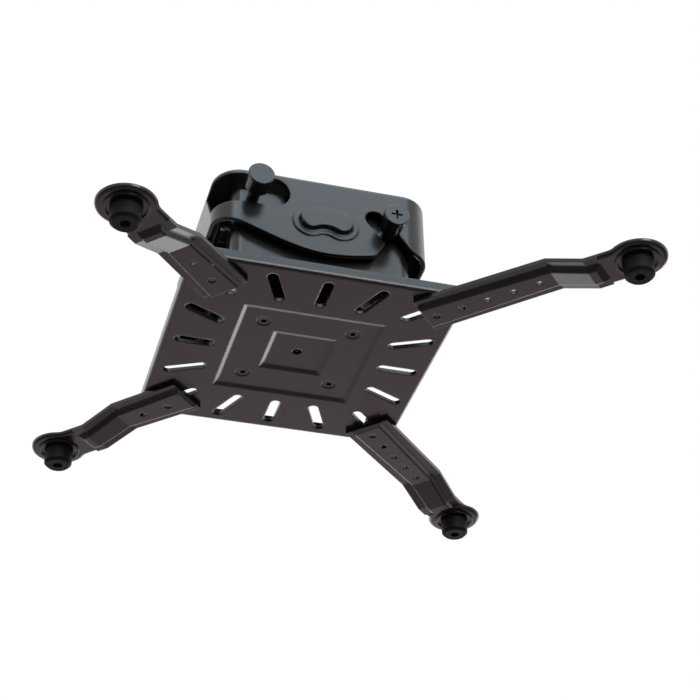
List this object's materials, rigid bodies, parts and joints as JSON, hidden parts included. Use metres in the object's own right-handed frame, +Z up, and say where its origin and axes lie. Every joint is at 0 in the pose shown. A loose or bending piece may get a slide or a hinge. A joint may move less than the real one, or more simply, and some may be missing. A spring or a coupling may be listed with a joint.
{
  "type": "projector ceiling mount",
  "caption": "Projector ceiling mount: a drawn steel housing with a roll yoke and tilt bracket inside, a slotted plate below, and adjustable drop arms with rubber feet.",
  "frame": {"origin": "middle of the face that meets the ceiling", "axes": "+Z up towards the ceiling, -Y to the front, where the two roll screws are, +X to the side of the long arms"},
  "size_m": [0.3477, 0.3658, 0.1144],
  "materials": {
    "coated_steel": "satin black powder coat on pressed steel sheet",
    "black_screws": "black plated steel, satin",
    "black_washers": "black plated steel, satin",
    "zinc_steel": "bright zinc plate",
    "nylon": "black nylon, matt",
    "foot_rubber": "black rubber, matt, slightly worn at the rim"
  },
  "bodies": {
    "housing": {"ceiling_housing": "coated_steel", "roll_pivot_stud_front": "zinc_steel", "roll_pivot_stud_rear": "zinc_steel", "roll_pivot_washers": "black_washers", "roll_pivot_nuts": "zinc_steel"},
    "yoke": {"roll_yoke": "coated_steel", "roll_pivot_bush_front": "nylon", "roll_pivot_bush_rear": "nylon", "roll_lock_screw": "black_screws", "roll_clinch_nuts": "zinc_steel"},
    "thumb": {"thumb_screw": "black_screws"},
    "plate": {"spider_plate": "coated_steel", "tilt_bracket": "coated_steel", "tilt_pivot_bolts": "black_screws", "tilt_pivot_nuts": "zinc_steel", "tilt_friction_washers": "nylon", "tilt_lock_bolts": "black_screws", "tilt_lock_nuts": "zinc_steel", "tilt_lock_washers": "black_washers", "tilt_lock_spacers": "zinc_steel", "plate_screws": "black_screws", "plate_nuts": "zinc_steel"},
    "clamp_front_left": {"clamp_bolt_front_left": "black_screws", "clamp_washer_front_left": "black_washers"},
    "arm_front_left": {"arm_front_left": "coated_steel", "foot_front_left": "foot_rubber", "foot_sleeve_front_left": "zinc_steel"},
    "clamp_front_right": {"clamp_bolt_front_right": "black_screws", "clamp_washer_front_right": "black_washers"},
    "arm_front_right": {"arm_front_right": "coated_steel", "foot_front_right": "foot_rubber", "foot_sleeve_front_right": "zinc_steel"},
    "clamp_back_left": {"clamp_bolt_back_left": "black_screws", "clamp_washer_back_left": "black_washers"},
    "arm_back_left": {"arm_back_left": "coated_steel", "foot_back_left": "foot_rubber", "foot_sleeve_back_left": "zinc_steel"},
    "clamp_back_right": {"clamp_bolt_back_right": "black_screws", "clamp_washer_back_right": "black_washers"},
    "arm_back_right": {"arm_back_right": "coated_steel", "foot_back_right": "foot_rubber", "foot_sleeve_back_right": "zinc_steel"}
  },
  "joints": [
    {"name": "roll", "type": "hinge", "parent": "housing", "child": "yoke", "pos_m": [0, 0, -0.033], "axis": [0, 1, 0], "range_deg": [-6, 6]},
    {"name": "tilt", "type": "hinge", "parent": "yoke", "child": "plate", "pos_m": [0, 0, -0.033], "axis": [1, 0, 0], "range_deg": [-15, 15]},
    {"name": "thumb_turn", "type": "hinge", "parent": "yoke", "child": "thumb", "pos_m": [-0.047, -0.06, -0.0176], "axis": [0, 1, 0], "continuous": true},
    {"name": "front_left_slide", "type": "slide", "parent": "plate", "child": "clamp_front_left", "axis": [-0.7071, -0.7071, 0], "range_m": [-0.02241, 0.00909]},
    {"name": "front_left_swing", "type": "hinge", "parent": "clamp_front_left", "child": "arm_front_left", "pos_m": [-0.07383, -0.07383, -0.09], "axis": [0, 0, 1], "range_deg": [-45, 45]},
    {"name": "front_right_slide", "type": "slide", "parent": "plate", "child": "clamp_front_right", "axis": [0.7071, -0.7071, 0], "range_m": [-0.02161, 0.00989]},
    {"name": "front_right_swing", "type": "hinge", "parent": "clamp_front_right", "child": "arm_front_right", "pos_m": [0.07327, -0.07327, -0.09], "axis": [0, 0, 1], "range_deg": [-45, 45]},
    {"name": "back_left_slide", "type": "slide", "parent": "plate", "child": "clamp_back_left", "axis": [-0.7071, 0.7071, 0], "range_m": [-0.02021, 0.01129]},
    {"name": "back_left_swing", "type": "hinge", "parent": "clamp_back_left", "child": "arm_back_left", "pos_m": [-0.07228, 0.07228, -0.09], "axis": [0, 0, 1], "range_deg": [-45, 45]},
    {"name": "back_right_slide", "type": "slide", "parent": "plate", "child": "clamp_back_right", "axis": [0.7071, 0.7071, 0], "range_m": [-0.02221, 0.00929]},
    {"name": "back_right_swing", "type": "hinge", "parent": "clamp_back_right", "child": "arm_back_right", "pos_m": [0.07369, 0.07369, -0.09], "axis": [0, 0, 1], "range_deg": [-45, 45]}
  ]
}
